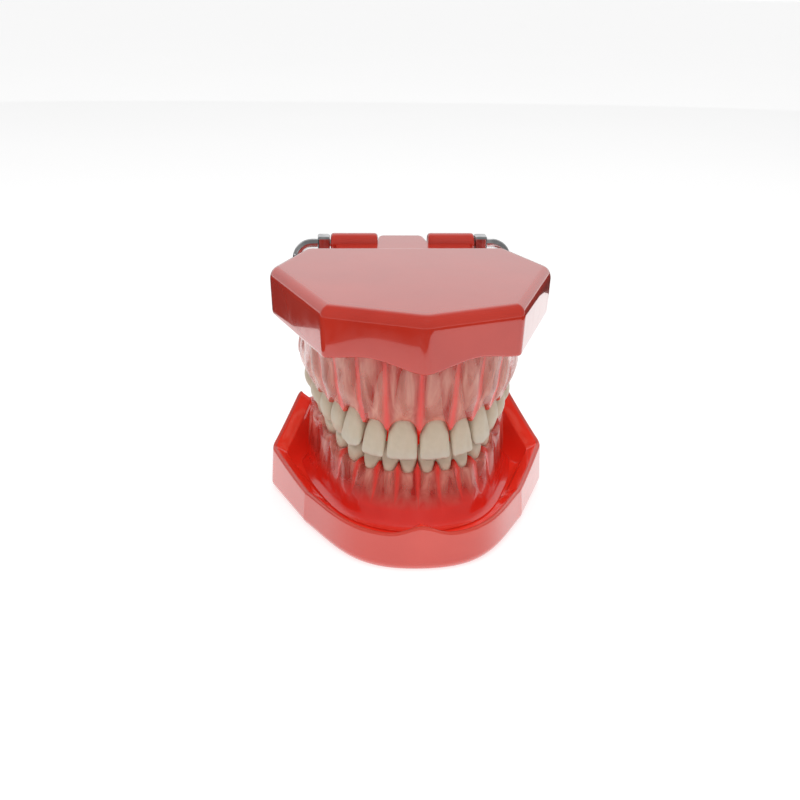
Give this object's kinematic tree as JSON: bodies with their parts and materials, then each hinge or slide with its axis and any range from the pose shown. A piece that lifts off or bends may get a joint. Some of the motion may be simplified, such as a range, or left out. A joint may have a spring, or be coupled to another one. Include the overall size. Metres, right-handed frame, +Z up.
{
  "type": "typodont model",
  "caption": "Dental teaching model: two coral plastic bases with clear gums and rooted ivory teeth, opening on a bent wire hinge at the back.",
  "frame": {"origin": "middle of the lower base's flat underside, in line with the midline of the teeth", "axes": "+X to the model's side that is on the right when it is seen from the front, +Y from the front teeth to the hinge, +Z up"},
  "size_m": [0.08, 0.0923, 0.0683],
  "materials": {
    "base_plastic": "polished, opaque coral red",
    "gum_resin": "clear cast resin with a pink tint",
    "tooth_resin": "satin ivory",
    "hinge_steel": "bright plated"
  },
  "bodies": {
    "lower_jaw": {"lower_base": "base_plastic", "lower_gum": "gum_resin", "lower_left_central_incisor": "tooth_resin", "lower_left_lateral_incisor": "tooth_resin", "lower_left_canine": "tooth_resin", "lower_left_first_premolar": "tooth_resin", "lower_left_second_premolar": "tooth_resin", "lower_left_first_molar": "tooth_resin", "lower_left_second_molar": "tooth_resin", "lower_right_central_incisor": "tooth_resin", "lower_right_lateral_incisor": "tooth_resin", "lower_right_canine": "tooth_resin", "lower_right_first_premolar": "tooth_resin", "lower_right_second_premolar": "tooth_resin", "lower_right_first_molar": "tooth_resin", "lower_right_second_molar": "tooth_resin", "hinge_rod_left": "hinge_steel", "hinge_rod_right": "hinge_steel", "hinge_collar_left": "hinge_steel", "hinge_collar_right": "hinge_steel"},
    "upper_jaw": {"upper_base": "base_plastic", "upper_gum": "gum_resin", "upper_left_central_incisor": "tooth_resin", "upper_left_lateral_incisor": "tooth_resin", "upper_left_canine": "tooth_resin", "upper_left_first_premolar": "tooth_resin", "upper_left_second_premolar": "tooth_resin", "upper_left_first_molar": "tooth_resin", "upper_left_second_molar": "tooth_resin", "upper_right_central_incisor": "tooth_resin", "upper_right_lateral_incisor": "tooth_resin", "upper_right_canine": "tooth_resin", "upper_right_first_premolar": "tooth_resin", "upper_right_second_premolar": "tooth_resin", "upper_right_first_molar": "tooth_resin", "upper_right_second_molar": "tooth_resin"}
  },
  "joints": [
    {"name": "jaw_hinge", "type": "hinge", "parent": "lower_jaw", "child": "upper_jaw", "pos_m": [0, 0.0485, 0.0652], "axis": [-1, 0, 0], "range_deg": [0, 120]}
  ]
}
